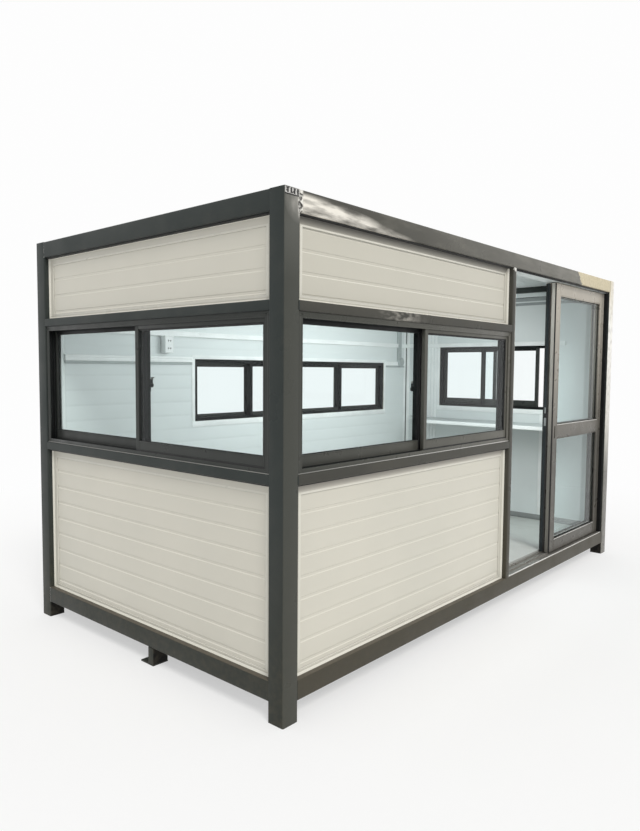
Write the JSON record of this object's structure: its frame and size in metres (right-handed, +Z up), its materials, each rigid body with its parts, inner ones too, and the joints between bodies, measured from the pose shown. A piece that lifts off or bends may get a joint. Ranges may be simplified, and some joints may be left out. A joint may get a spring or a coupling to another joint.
{
  "type": "container office",
  "caption": "Small steel-framed container office with cream sandwich panels, sliding windows on all sides and a glazed sliding door in the front.",
  "frame": {"origin": "middle of the footprint, on the ground under the feet", "axes": "+X along the front to the right as seen from outside, +Y from the front to the back, +Z up"},
  "size_m": [4.24, 2.26, 2.46],
  "materials": {
    "frame_steel": "worn dark grey gloss paint",
    "panel_skin": "satin cream coating",
    "window_aluminium": "dark powder coat",
    "glass": "clear",
    "floor": "matt sheet flooring",
    "counter": "white laminate"
  },
  "bodies": {
    "cabin": {"corner_post_front_left": "frame_steel", "corner_post_front_right": "frame_steel", "corner_post_back_left": "frame_steel", "corner_post_back_right": "frame_steel", "top_beam_front": "frame_steel", "top_beam_back": "frame_steel", "top_beam_left": "frame_steel", "top_beam_right": "frame_steel", "bottom_beam_front": "frame_steel", "bottom_beam_back": "frame_steel", "bottom_beam_left": "frame_steel", "bottom_beam_right": "frame_steel", "roof_joists": "frame_steel", "door_post": "frame_steel", "head_rails": "frame_steel", "sill_rails": "frame_steel", "mid_feet": "frame_steel", "panel_front_upper": "panel_skin", "panel_front_lower": "panel_skin", "panel_left_upper": "panel_skin", "panel_left_lower": "panel_skin", "panels_back_ends": "panel_skin", "panels_back_middle": "panel_skin", "panels_right_ends": "panel_skin", "panels_right_middle": "panel_skin", "roof_panel": "panel_skin", "floor_deck": "floor", "counter": "counter", "window_front_frame": "window_aluminium", "window_front_sashes": "window_aluminium", "window_left_frame": "window_aluminium", "window_left_sashes": "window_aluminium", "window_back_frame": "window_aluminium", "window_back_sashes": "window_aluminium", "window_right_frame": "window_aluminium", "window_right_sashes": "window_aluminium", "window_glass": "glass", "door_jambs": "window_aluminium", "door_head_track": "window_aluminium", "door_threshold": "window_aluminium"},
    "outer_leaf": {"outer_leaf_frame": "window_aluminium", "outer_leaf_glass": "glass"},
    "inner_leaf": {"inner_leaf_frame": "window_aluminium", "inner_leaf_glass": "glass"}
  },
  "joints": [
    {"name": "outer_leaf_slide", "type": "slide", "parent": "cabin", "child": "outer_leaf", "axis": [-1, 0, 0], "range_m": [0, 0.768]},
    {"name": "inner_leaf_slide", "type": "slide", "parent": "cabin", "child": "inner_leaf", "axis": [-1, 0, 0], "range_m": [0, 0.768]}
  ]
}
